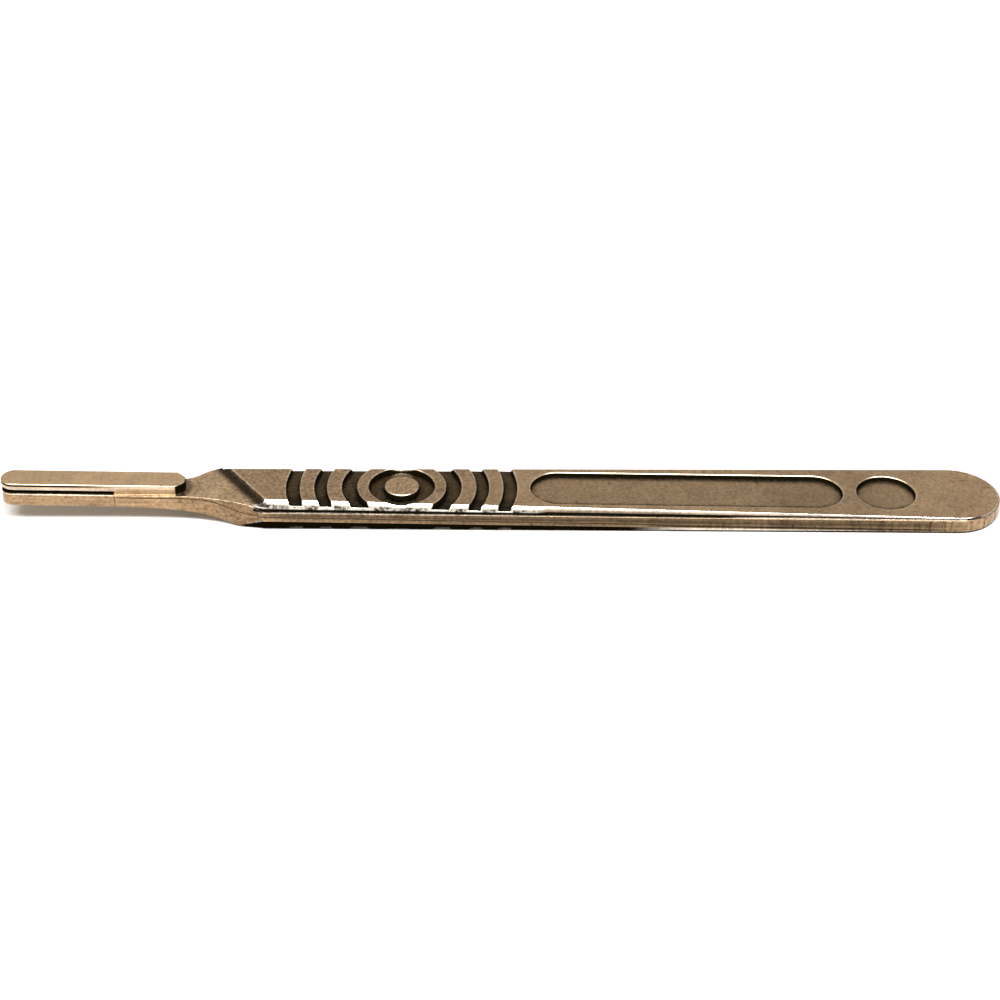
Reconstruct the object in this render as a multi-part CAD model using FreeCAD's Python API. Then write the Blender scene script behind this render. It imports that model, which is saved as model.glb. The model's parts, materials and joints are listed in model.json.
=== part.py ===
import FreeCAD, Part
import math
import os

from FreeCAD import Placement, Rotation, Vector

# A surgical scalpel handle for the larger blade fitting, coined and trimmed from one piece of metal.
# Stations run from the tip of the blade fitting (0) to the rounded tail. The handle is drawn about its
# middle plane, towards which both faces slope, and is laid on its lower face at the end.
# The near side is the one at negative Y. Sizes are in millimetres and angles in degrees.

# Body
overall_length = 131.1
tail_width = 12.1
shoulder_width = 9.1
shoulder_thickness = 4.55
tail_thickness = 2.2

# Trimmed band round the edge, and the coined pads set in from it above and below
shoulder_band_height = 1.4
tail_band_height = 1.8
pad_ledge = 0.2
pad_edge_slope = 0.47
pad_edge_turn = 50.0
pad_edge_levels = 4
crease_step = 0.08
shoulder_crease_depth = 2.25
tail_crease_depth = 1.65

# Blade fitting: a bar over a slot, on a flat tongue
bar_length = 24.1
bar_width = 3.55
bar_thickness = 0.9
bar_rear_radius = 1.2
bar_edge_break = 0.2
blade_gap = 0.42
slot_length = 14.9
web_width = 1.9
tongue_width = 4.25
tongue_tip_width = 4.1
tongue_tip_radius = 1.6
tongue_tip_setback = 0.15
tongue_depth = 2.55

# Neck, from the rear of the bar to the shoulder that slants across the upper face
neck_length = 8.15
seat_depth = 0.8
shoulder_lean = 35.4
cove_radius = 2.3
near_flare_length = 10.4
near_flare_angle = 18.3
near_fan_length = 4.0
far_flare_length = 3.7
far_flare_angle = 40.0
far_inner_radius = 3.0
far_outer_radius = 1.6
far_fan_length = 2.0
sweep_radius = 70.0
neck_crease_depth = 1.15
neck_crease_radius = 27.0

# Grip: a round boss inside concentric grooves, on both faces
grip_offset = 20.2
boss_diameter = 4.56
groove_widths = (2.05, 1.98, 1.6, 1.74)
ridge_widths = (1.54, 1.99, 1.95)
groove_depth = 0.65
wall_draft = 10.0
edge_break = 0.1

# Sunk panels on the upper face
panel_width = 7.45
panel_land_front = 1.75
panel_land_rear = 1.86
round_panel_diameter = 7.75
round_panel_from_tail = 14.97
panel_depth = 0.62

# Millimetre rule on the lower face, along the near edge
rule_pitch = 1.0
rule_divisions = 20
rule_end_from_tail = 5.9
rule_mark_width = 0.26
rule_mark_depth = 0.16
rule_mark_length = 1.6
rule_fifth_mark_length = 2.4
rule_tenth_mark_length = 3.2

# How far a cutter runs past what it cuts
clear = 3.0

# Worked out from the sizes above
tail_radius = tail_width / 2
tail_centre = overall_length - tail_radius
shoulder_station = bar_length + neck_length
near_corner = bar_length + near_flare_length
far_corner = bar_length + far_flare_length
body_length = overall_length - near_corner
cove_turn = math.acos(1 - seat_depth / cove_radius)
cove_run = cove_radius * math.sin(cove_turn)
grip_station = shoulder_station + grip_offset
grip_radius = boss_diameter / 2 + sum(groove_widths) + sum(ridge_widths)
round_panel_station = overall_length - round_panel_from_tail
panel_front = grip_station + grip_radius + panel_land_front
panel_rear = round_panel_station - round_panel_diameter / 2 - panel_land_rear


def along_body(station, at_shoulder, at_tail):
    """A size that changes evenly from the shoulder to the tail, taken at a station."""
    return at_shoulder + (at_tail - at_shoulder) * (station - near_corner) / body_length


def thickness(station):
    """Distance between the two faces."""
    return along_body(station, shoulder_thickness, tail_thickness)


def band_height(station):
    """Height of the trimmed band, which lies midway between the faces."""
    return along_body(station, shoulder_band_height, tail_band_height)


def pad_height(station):
    """Height of a pad above or below the band."""
    return (thickness(station) - band_height(station)) / 2


def half_width(station):
    """Half the width over the band, growing evenly from the shoulder to the tail's round end."""
    rise = (tail_radius - shoulder_width / 2) / (tail_centre - near_corner)
    return shoulder_width / 2 + rise * (station - near_corner)


def height_at_depth(station, depth):
    """Height over the middle plane of a point that lies below the upper face."""
    return thickness(station) / 2 - depth


face_tilt = math.degrees(math.atan((shoulder_thickness - tail_thickness) / 2 / body_length))
upper_face = Placement(Vector(0, 0, thickness(0) / 2), Rotation(Vector(0, 1, 0), face_tilt))


def on_upper_face(shape):
    """Moves a shape drawn at height 0 onto the upper face."""
    placed = shape.copy()
    placed.Placement = upper_face.multiply(placed.Placement)
    return placed


def on_lower_face(shape):
    """Mirrors a shape drawn at height 0 onto the lower face."""
    return on_upper_face(shape).mirror(Vector(0, 0, 0), Vector(0, 0, 1))


def line(start, end):
    """A straight edge."""
    return Part.LineSegment(start, end).toShape()


def arc(start, middle, end):
    """A round edge through three points."""
    return Part.Arc(start, middle, end).toShape()


def corner_arc(before, corner, after, radius):
    """The start, middle and end points of an arc that rounds a corner of an outline."""
    back = (before - corner).normalize()
    ahead = (after - corner).normalize()
    half_angle = back.getAngle(ahead) / 2
    reach = radius / math.tan(half_angle)
    centre = corner + (back + ahead).normalize() * (radius / math.sin(half_angle))
    middle = centre + (corner - centre).normalize() * radius
    return corner + back * reach, middle, corner + ahead * reach


def tail_tangent(start, radius, side):
    """Where a line from start touches the tail's round end, on the given side of the axis."""
    dx, dy = tail_centre - start.x, -start.y
    distance = math.hypot(dx, dy)
    angle = math.atan2(dy, dx) + side * math.asin(radius / distance)
    reach = math.sqrt(distance**2 - radius**2)
    return start + Vector(reach * math.cos(angle), reach * math.sin(angle), 0)


def near_side(step, inset):
    """Points down the near side: the tongue, an arc that turns out, and the fan to the body's corner."""
    turn = math.radians(near_flare_angle)
    side = tongue_width / 2 - step
    rise = (shoulder_width - tongue_width) / 2 - near_fan_length * math.tan(turn)
    radius = rise / (1 - math.cos(turn))
    start = near_corner - near_fan_length - radius * math.sin(turn)

    def on_arc(share):
        angle = turn * share
        return Vector(start + radius * math.sin(angle), -side - radius * (1 - math.cos(angle)), 0)

    corner = Vector(near_corner, step + inset(near_corner) - half_width(near_corner), 0)
    return Vector(0, -side, 0), on_arc(0), on_arc(0.5), on_arc(1), corner


def far_side(step, inset):
    """Points and arcs down the far side: the tongue, a short flare rounded at both ends, and the body."""
    side = tongue_width / 2 - step
    full = half_width(far_corner) - step
    outer_reach = far_outer_radius * math.tan(math.radians(far_flare_angle / 2))
    outer = Vector(far_corner - outer_reach, full, 0)
    inner = Vector(outer.x - (full - side) / math.tan(math.radians(far_flare_angle)), side, 0)
    start = Vector(0, side, 0)
    inner_arc = corner_arc(start, inner, outer, far_inner_radius)
    outer_arc = corner_arc(inner, outer, outer + Vector(far_fan_length, 0, 0), far_outer_radius)
    end = far_corner + far_fan_length
    corner = Vector(end, half_width(end) - step - inset(end), 0)
    return start, inner_arc, outer_arc, corner


def plan_outline(step, inset, height):
    """Closed outline of the whole handle in plan, lifted into a sloping plane.

    step draws the whole outline in. inset(station) draws the body in further, behind the neck's fans.
    height(station) gives the level, so it has to be even along the handle.
    """
    tip, flare_start, flare_middle, flare_end, near_body = near_side(step, inset)
    far_tip, inner_arc, outer_arc, far_body = far_side(step, inset)
    radius = tail_radius - step - inset(tail_centre)
    near_tail = tail_tangent(near_body, radius, -1)
    far_tail = tail_tangent(far_body, radius, 1)
    tail_end = Vector(tail_centre + radius, 0, 0)

    def lifted(edge, *points):
        return edge(*[Vector(point.x, point.y, height(point.x)) for point in points])

    return Part.Wire([
        lifted(line, tip, flare_start),
        lifted(arc, flare_start, flare_middle, flare_end),
        lifted(line, flare_end, near_body),
        lifted(line, near_body, near_tail),
        lifted(arc, near_tail, tail_end, far_tail),
        lifted(line, far_tail, far_body),
        lifted(line, far_body, outer_arc[2]),
        lifted(arc, *reversed(outer_arc)),
        lifted(line, outer_arc[0], inner_arc[2]),
        lifted(arc, *reversed(inner_arc)),
        lifted(line, inner_arc[0], far_tip),
        lifted(line, far_tip, tip),
    ])


def coined_pads():
    """The pad coined on each face. Its edge starts upright and turns in towards the flat."""
    levels = []
    full_turn = math.radians(pad_edge_turn)
    for level in range(pad_edge_levels):
        turn = full_turn * level / (pad_edge_levels - 1)
        rise = math.sin(turn) / math.sin(full_turn)
        run = (1 - math.cos(turn)) / (1 - math.cos(full_turn)) * pad_edge_slope
        levels.append(plan_outline(
            pad_ledge,
            lambda station, run=run: run * pad_height(station),
            lambda station, rise=rise: band_height(station) / 2 + rise * pad_height(station),
        ))
    pad = Part.makeLoft(levels, True, False)
    return [pad, pad.mirror(Vector(0, 0, 0), Vector(0, 0, 1))]


def flat_solid(outline, low, high):
    """A solid from a closed outline in plan, between two heights."""
    face = Part.Face(outline)
    face.translate(Vector(0, 0, low))
    return face.extrude(Vector(0, 0, high - low))


def upright_solid(edges, low_y, high_y):
    """A solid from a closed outline drawn in the upright middle plane, between two distances across."""
    face = Part.Face(Part.Wire(edges))
    face.translate(Vector(0, low_y, 0))
    return face.extrude(Vector(0, high_y - low_y, 0))


def crease_edges(reach):
    """The crease seen from the side: level under the tongue, a double bend, then along the body."""
    def on_body(station):
        depth = along_body(station, shoulder_crease_depth, tail_crease_depth)
        return Vector(station, 0, height_at_depth(station, depth))

    end = on_body(near_corner - near_fan_length / 2)
    start_height = height_at_depth(end.x, neck_crease_depth)
    half_drop = (start_height - end.z) / 2
    half_run = math.sqrt(2 * neck_crease_radius * half_drop - half_drop**2)
    start = Vector(end.x - 2 * half_run, 0, start_height)
    middle = (start + end) * 0.5
    quarter = half_run / 2
    sag = neck_crease_radius - math.sqrt(neck_crease_radius**2 - quarter**2)
    return [
        line(Vector(0, 0, height_at_depth(0, neck_crease_depth)), start),
        arc(start, start + Vector(quarter, 0, -sag), middle),
        arc(middle, end + Vector(-quarter, 0, sag), end),
        line(end, on_body(reach)),
    ]


def trimmed_layer(step, side):
    """The layer that the trimming die leaves above the crease (side 1) or below it (side -1).

    It has the full height of the neck and falls over the fan at the shoulder to the height of the band.
    """
    prism = flat_solid(
        plan_outline(step, lambda station: 0, lambda station: 0), -shoulder_thickness, shoulder_thickness
    )
    reach = overall_length + clear
    crease = crease_edges(reach)
    halves = []
    for fan_start, fan_length, low_y, high_y in (
        (near_corner - near_fan_length, near_fan_length, -tail_width, 0),
        (far_corner, far_fan_length, 0, tail_width),
    ):
        fan_end = fan_start + fan_length
        border = [
            crease[-1].Vertexes[1].Point,
            Vector(reach, 0, side * band_height(reach) / 2),
            Vector(fan_end, 0, side * band_height(fan_end) / 2),
            Vector(fan_start, 0, side * thickness(fan_start) / 2),
            Vector(0, 0, side * thickness(0) / 2),
            crease[0].Vertexes[0].Point,
        ]
        edges = crease + [line(start, end) for start, end in zip(border, border[1:])]
        halves.append(prism.common(upright_solid(edges, low_y, high_y)))
    return halves


def bar_outline(width, front, rear, front_radius, rear_radius):
    """Closed outline of a bar in plan between two stations, with rounded corners at each end."""
    side = width / 2
    corners = (
        (Vector(front, side, 0), Vector(0, -1, 0), Vector(1, 0, 0), front_radius),
        (Vector(front, -side, 0), Vector(1, 0, 0), Vector(0, 1, 0), front_radius),
        (Vector(rear, -side, 0), Vector(0, 1, 0), Vector(-1, 0, 0), rear_radius),
        (Vector(rear, side, 0), Vector(-1, 0, 0), Vector(0, -1, 0), rear_radius),
    )
    slack = 1 - math.sqrt(0.5)
    starts = [corner + back * radius for corner, ahead, back, radius in corners]
    edges = []
    for index, (corner, ahead, back, radius) in enumerate(corners):
        end = corner + ahead * radius
        following = starts[(index + 1) % len(corners)]
        if radius > 0:
            edges.append(arc(starts[index], corner + (ahead + back) * radius * slack, end))
        if end.distanceToPoint(following) > 1e-6:
            edges.append(line(end, following))
    return Part.Wire(edges)


def blade_fitting():
    """The bar that holds a blade: solid down to the seat at the rear, over a slot and a web in front."""
    root = -seat_depth - (tongue_depth - seat_depth) / 2
    bar_bottom = -seat_depth + blade_gap
    bar_top = bar_bottom + bar_thickness
    outline = bar_outline(bar_width, 0, bar_length, bar_width / 2, bar_rear_radius)
    bar = flat_solid(outline, bar_bottom, bar_top)
    rim = [edge for edge in bar.Edges if edge.BoundBox.ZMin > (bar_bottom + bar_top) / 2]
    bar = bar.makeFillet(bar_edge_break, rim)
    # The rear block stands on the seat and the web stands in the slot. Both are rooted in the tongue.
    inside_bar = bar_bottom + bar_edge_break
    rear_block = flat_solid(outline, root, inside_bar).common(Part.makeBox(
        bar_length, bar_width, inside_bar - root, Vector(slot_length, -bar_width / 2, root)
    ))
    web_front = (bar_width - web_width) / 2
    web_rear = slot_length + bar_rear_radius
    web = flat_solid(bar_outline(web_width, web_front, web_rear, web_width / 2, 0), root, inside_bar)
    return on_upper_face(bar.fuse([rear_block, web]))


def seat_cutter():
    """Everything above the blade's seat, back to the coved shoulder that slants across the handle."""
    reach = shoulder_station + tail_width + clear
    lift = bar_thickness + blade_gap + clear
    rim = Vector(0, 0, 0)
    foot = Vector(-cove_run, 0, -seat_depth)
    half_turn = cove_turn / 2
    on_cove = foot + Vector(cove_radius * math.sin(half_turn), 0, cove_radius * (1 - math.cos(half_turn)))
    cutter = upright_solid([
        line(Vector(-reach, 0, -seat_depth), foot),
        arc(foot, on_cove, rim),
        line(rim, Vector(0, 0, lift)),
        line(Vector(0, 0, lift), Vector(-reach, 0, lift)),
        line(Vector(-reach, 0, lift), Vector(-reach, 0, -seat_depth)),
    ], -reach, reach)
    cutter.Placement = Placement(Vector(shoulder_station, 0, 0), Rotation(Vector(0, 0, 1), shoulder_lean))
    return on_upper_face(cutter)


def underside_cutter():
    """Everything below the tongue, and below the arc that sweeps down from it to the lower face."""
    drop = thickness(shoulder_station) - tongue_depth
    sweep_start = shoulder_station - math.sqrt(2 * sweep_radius * drop - drop**2)
    run_out = shoulder_station + clear
    low = -shoulder_thickness - 2 * clear

    def on_sweep(station):
        fall = sweep_radius - math.sqrt(sweep_radius**2 - (station - sweep_start) ** 2)
        return Vector(station, 0, -tongue_depth - fall)

    before_tip = Vector(-clear, 0, -tongue_depth)
    return on_upper_face(upright_solid([
        line(before_tip, on_sweep(sweep_start)),
        arc(on_sweep(sweep_start), on_sweep((sweep_start + run_out) / 2), on_sweep(run_out)),
        line(on_sweep(run_out), Vector(run_out, 0, low)),
        line(Vector(run_out, 0, low), Vector(-clear, 0, low)),
        line(Vector(-clear, 0, low), before_tip),
    ], -tail_width, tail_width))


def tongue_tip_cutter():
    """What is milled off the tongue's sides and round its tip, as far back as the slot."""
    tall = 2 * shoulder_thickness
    kept = bar_outline(tongue_tip_width, tongue_tip_setback, slot_length + clear, tongue_tip_radius, 0)
    block = Part.makeBox(slot_length + clear, 2 * tail_width, 2 * tall, Vector(-clear, -tail_width, -tall))
    return on_upper_face(block.cut(flat_solid(kept, -tall, tall)))


def recess_walls(depth):
    """Steps up a recess's wall: how far out from its stated size, and at what height."""
    run = (depth - edge_break) * math.tan(math.radians(wall_draft))
    return (-run, -depth), (0, -edge_break), (edge_break, 0), (edge_break, clear)


def turned_cutter(station, inner, outer, depth):
    """A round cutter, or a ring-shaped one if inner isn't 0, with drafted walls and broken edges."""
    walls = recess_walls(depth)
    points = [Vector(outer + out, 0, height) for out, height in walls]
    if inner > 0:
        points += [Vector(inner - out, 0, height) for out, height in reversed(walls)]
    else:
        points += [Vector(0, 0, clear), Vector(0, 0, -depth)]
    profile = Part.Face(Part.makePolygon(points + points[:1]))
    cutter = profile.revolve(Vector(0, 0, 0), Vector(0, 0, 1), 360)
    cutter.translate(Vector(station, 0, 0))
    return cutter


def grip_cutters():
    """The ring-shaped grooves of the grip, outwards from the round boss in the middle."""
    cutters = []
    inner = boss_diameter / 2
    for groove, ridge in zip(groove_widths, ridge_widths + (0,)):
        cutters.append(turned_cutter(grip_station, inner, inner + groove, groove_depth))
        inner += groove + ridge
    return cutters


def panel_cutters():
    """The long sunk panel with round ends, and the round one near the tail."""
    levels = []
    for out, height in recess_walls(panel_depth):
        width = panel_width + 2 * out
        level = bar_outline(width, panel_front - out, panel_rear + out, width / 2, width / 2)
        level.translate(Vector(0, 0, height))
        levels.append(level)
    round_panel = turned_cutter(round_panel_station, 0, round_panel_diameter / 2, panel_depth)
    return [Part.makeLoft(levels, True, True), round_panel]


def rule_cutters():
    """The rule's marks, cut square to the axis inwards from the near edge."""
    marks = []
    for number in range(rule_divisions + 1):
        station = overall_length - rule_end_from_tail - number * rule_pitch
        length = rule_mark_length
        if number % 10 == 0:
            length = rule_tenth_mark_length
        elif number % 5 == 0:
            length = rule_fifth_mark_length
        edge = half_width(station) - pad_inset(station)
        marks.append(Part.makeBox(
            rule_mark_width, length + tail_width, rule_mark_depth + clear,
            Vector(station - rule_mark_width / 2, -edge - tail_width, -rule_mark_depth),
        ))
    return marks


def pad_inset(station):
    """How far the flat of a pad lies inside the band."""
    return pad_ledge + pad_edge_slope * pad_height(station)


def scalpel_handle():
    """The whole handle in one solid, drawn about its middle plane."""
    pads = coined_pads()
    handle = pads[0].fuse(pads[1:] + trimmed_layer(0, 1) + trimmed_layer(crease_step, -1))
    handle = handle.cut([seat_cutter(), underside_cutter(), tongue_tip_cutter()])
    handle = handle.fuse(blade_fitting())
    handle = handle.cut([on_upper_face(cutter) for cutter in grip_cutters() + panel_cutters()])
    handle = handle.cut([on_lower_face(cutter) for cutter in grip_cutters() + rule_cutters()])
    return handle.removeSplitter()


def laid_down(shape):
    """The shape at rest on its lower face, with the origin on the ground under its middle."""
    shape.Placement = Placement(Vector(0, 0, 0), Rotation(Vector(0, 1, 0), face_tilt))
    box = shape.optimalBoundingBox(False)
    shape.translate(Vector(-(box.XMin + box.XMax) / 2, -(box.YMin + box.YMax) / 2, -box.ZMin))
    return shape


def main():
    """Builds the handle and writes it as one part."""
    os.makedirs("parts", exist_ok=True)
    handle = laid_down(scalpel_handle())
    box = handle.optimalBoundingBox(False)
    print("solids", len(handle.Solids), "valid", handle.isValid(), "volume", round(handle.Volume, 1))
    print("size", round(box.XLength, 3), round(box.YLength, 3), round(box.ZLength, 3))
    handle.exportStep("parts/handle.step")


main()
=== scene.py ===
"""Looks of a one-piece scalpel handle: coined, trimmed and satin-finished metal on a pale studio floor.

The handle is one node of the frame. Each region of its surface is a small class that knows its own sizes,
in millimetres, and gives a mask, and the finish mixes the regions into one material. Several of the masks
paint shade, shadow lines and highlights into the colour.
"""

import json
import logging
import math
from dataclasses import dataclass
from enum import Enum
from functools import cache, reduce
from typing import Any, Mapping, Sequence, Union

import bpy
from mathutils import Matrix, Vector

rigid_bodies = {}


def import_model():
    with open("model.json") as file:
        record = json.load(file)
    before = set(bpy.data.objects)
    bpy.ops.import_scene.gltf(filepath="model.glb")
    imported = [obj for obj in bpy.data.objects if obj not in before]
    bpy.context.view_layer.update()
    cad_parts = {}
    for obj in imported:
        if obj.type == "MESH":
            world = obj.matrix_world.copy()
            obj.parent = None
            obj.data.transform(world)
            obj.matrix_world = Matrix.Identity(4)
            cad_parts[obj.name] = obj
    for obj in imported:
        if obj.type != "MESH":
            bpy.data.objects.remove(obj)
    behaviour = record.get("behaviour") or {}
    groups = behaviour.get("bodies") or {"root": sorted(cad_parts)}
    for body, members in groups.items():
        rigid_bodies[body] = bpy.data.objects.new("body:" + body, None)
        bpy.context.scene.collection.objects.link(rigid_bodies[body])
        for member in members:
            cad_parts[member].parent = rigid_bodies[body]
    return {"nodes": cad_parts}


for leftover in list(bpy.data.objects):
    bpy.data.objects.remove(leftover)
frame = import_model()

LOG = logging.getLogger("scalpel_handle")
MM = 0.001

Colour = tuple[float, float, float]
Number = Union[int, float]


class Signal:
    """A number worked out by a node graph, held as the output socket that carries it."""

    def __init__(self, graph: "Graph", socket: bpy.types.NodeSocket) -> None:
        """Wraps a socket.

        Args:
            graph: The node graph that the socket is in.
            socket: The output socket.
        """
        self.graph = graph
        self.socket = socket

    def _combine(self, operation: str, *values: Union["Signal", Number], clamp: bool = False) -> "Signal":
        """Adds one Math node.

        Args:
            operation: The node's operation.
            values: The node's values, in order.
            clamp: Whether the result is kept from 0 to 1.

        Returns:
            The node's result.
        """
        settings = {"operation": operation, "use_clamp": clamp}
        return self.graph.signal("ShaderNodeMath", settings, dict(enumerate(values)))

    def __add__(self, other: Union["Signal", Number]) -> "Signal":
        """Sum."""
        return self._combine("ADD", self, other)

    __radd__ = __add__

    def __sub__(self, other: Union["Signal", Number]) -> "Signal":
        """Difference."""
        return self._combine("SUBTRACT", self, other)

    def __rsub__(self, other: Union["Signal", Number]) -> "Signal":
        """Difference with a plain number first."""
        return self._combine("SUBTRACT", other, self)

    def __mul__(self, other: Union["Signal", Number]) -> "Signal":
        """Product."""
        return self._combine("MULTIPLY", self, other)

    __rmul__ = __mul__

    def __truediv__(self, other: Union["Signal", Number]) -> "Signal":
        """Quotient."""
        return self._combine("DIVIDE", self, other)

    def __rtruediv__(self, other: Union["Signal", Number]) -> "Signal":
        """Quotient with a plain number first."""
        return self._combine("DIVIDE", other, self)

    def __abs__(self) -> "Signal":
        """Size without sign."""
        return self._combine("ABSOLUTE", self)

    def root(self) -> "Signal":
        """Square root."""
        return self._combine("SQRT", self)

    def at_least(self, low: Union["Signal", Number]) -> "Signal":
        """The signal, or low where it is under it."""
        return self._combine("MAXIMUM", self, low)

    def at_most(self, high: Union["Signal", Number]) -> "Signal":
        """The signal, or high where it is over it."""
        return self._combine("MINIMUM", self, high)

    def swing(self, reach: float) -> "Signal":
        """The signal folded to and fro between 0 and reach."""
        return self._combine("PINGPONG", self, reach)

    def clamped(self) -> "Signal":
        """The same signal kept from 0 to 1."""
        return self._combine("ADD", self, 0.0, clamp=True)

    def rise(self, low: float, high: float) -> "Signal":
        """A smooth step over the signal.

        Args:
            low: Where the step starts, at 0.
            high: Where the step ends, at 1. Below low, the step falls.

        Returns:
            The step, from 0 to 1.
        """
        if low < high:
            settings = {"interpolation_type": "SMOOTHSTEP", "clamp": True}
            values = {"Value": self, "From Min": low, "From Max": high}
            return self.graph.signal("ShaderNodeMapRange", settings, values)
        return 1 - self.rise(high, low)

    def within(self, low: float, high: float, soft: float) -> "Signal":
        """A smooth band over the signal: 1 from low to high, fading to 0 over soft outside it."""
        return self.rise(low - soft, low) * self.rise(high + soft, high)


Value = Union[Signal, bpy.types.NodeSocket, Number, str, Sequence[float]]


class Graph:
    """The node graph of a material, of the world or of a modifier."""

    def __init__(self, tree: bpy.types.NodeTree) -> None:
        """Takes over a node tree and empties it."""
        self.tree = tree
        tree.nodes.clear()

    def node(
        self, kind: str, settings: Mapping[str, Any] | None = None, values: Mapping[Any, Value] | None = None
    ) -> bpy.types.Node:
        """Adds a node.

        Args:
            kind: The node's type name.
            settings: Its properties, set first. The key "stops" holds a ramp's (place, colour) pairs.
            values: Its sockets' values or links, by name or number.

        Returns:
            The new node.
        """
        made = self.tree.nodes.new(kind)
        for name, setting in (settings or {}).items():
            if name == "stops":
                self._set_stops(made.color_ramp, setting)
            else:
                setattr(made, name, setting)
        for key, value in (values or {}).items():
            if isinstance(value, Signal):
                value = value.socket
            if isinstance(value, bpy.types.NodeSocket):
                self.tree.links.new(value, made.inputs[key])
            else:
                made.inputs[key].default_value = value
        return made

    @staticmethod
    def _set_stops(ramp: bpy.types.ColorRamp, stops: Sequence[tuple[float, Colour]]) -> None:
        """Gives a ramp its stops.

        Args:
            ramp: The ramp, with its two first stops.
            stops: The (place, colour) pairs.
        """
        while len(ramp.elements) < len(stops):
            ramp.elements.new(1.0)
        for element, (place, colour) in zip(ramp.elements, stops):
            element.position = place
            element.color = (*colour, 1.0)

    def signal(
        self,
        kind: str,
        settings: Mapping[str, Any] | None = None,
        values: Mapping[Any, Value] | None = None,
        output: Union[int, str] = 0,
    ) -> Signal:
        """Adds a node and returns one of its outputs as a signal.

        Args:
            kind: The node's type name.
            settings: Its properties.
            values: Its sockets' values or links.
            output: The output's number or name.

        Returns:
            The output.
        """
        return Signal(self, self.node(kind, settings, values).outputs[output])

    def blend(self, share: Value, first: Value, second: Value) -> bpy.types.NodeSocket:
        """Mixes two colours.

        Args:
            share: The second colour's share.
            first: The first colour or its socket.
            second: The second colour or its socket.

        Returns:
            The mixed colour's socket.
        """
        values = {0: share, 6: self._as_rgba(first), 7: self._as_rgba(second)}
        return self.node("ShaderNodeMix", {"data_type": "RGBA", "clamp_factor": True}, values).outputs[2]

    def shaded(self, colour: Value, strength: Signal) -> bpy.types.NodeSocket:
        """Multiplies a colour by a signal.

        Args:
            colour: The colour or its socket.
            strength: What it is multiplied by.

        Returns:
            The darkened or lightened colour's socket.
        """
        if not isinstance(colour, bpy.types.NodeSocket):
            colour = self.node("ShaderNodeCombineXYZ", None, dict(enumerate(colour))).outputs[0]
        values = {0: colour, "Scale": strength}
        return self.node("ShaderNodeVectorMath", {"operation": "SCALE"}, values).outputs[0]

    @staticmethod
    def _as_rgba(colour: Value) -> Value:
        """A plain colour with its alpha added, or a socket as it is."""
        return (*colour, 1.0) if isinstance(colour, tuple) else colour

    def noise(self, place: Value, scale: float, detail: float = 2.0, roughness: float = 0.5) -> Signal:
        """Fractal noise around 0.5.

        Args:
            place: The point's vector.
            scale: Features to a unit of the vector.
            detail: Octaves of finer noise.
            roughness: Strength of the finer octaves.

        Returns:
            The noise.
        """
        values = {"Vector": place, "Scale": scale, "Detail": detail, "Roughness": roughness}
        return self.signal("ShaderNodeTexNoise", {"noise_dimensions": "3D"}, values)


class Lay(Enum):
    """The way that tool marks run on a surface, as how much finer they are along X, Y and Z."""

    EVEN = (1.0, 1.0, 1.0)
    LENGTHWISE = (0.05, 1.0, 1.0)
    CROSSWISE = (1.0, 0.08, 0.08)


@dataclass(frozen=True)
class HandleForm:
    """The handle's overall sizes in millimetres, and the levels that follow from them at a station.

    What is named front is the value that the even change along the body gives at station 0.
    """

    length: float = 131.08
    front_thickness: float = 5.39
    taper: float = 0.02433
    front_band: float = 1.257
    band_growth: float = 0.00414
    front_half_width: float = 3.978
    widening: float = 0.01657
    tail_centre: float = 125.03
    pad_ledge: float = 0.2
    pad_edge_slope: float = 0.47

    @cache
    def thickness(self, station: Signal) -> Signal:
        """Distance between the faces."""
        return self.front_thickness - self.taper * station

    @cache
    def band(self, station: Signal) -> Signal:
        """Height of the trimmed band."""
        return self.front_band + self.band_growth * station

    @cache
    def shelf(self, station: Signal) -> Signal:
        """Depth of the trimmed band under either face."""
        return (self.thickness(station) - self.band(station)) * 0.5

    @cache
    def half_width(self, station: Signal) -> Signal:
        """Half the width over the band."""
        return self.front_half_width + self.widening * station.at_most(self.tail_centre)


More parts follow.
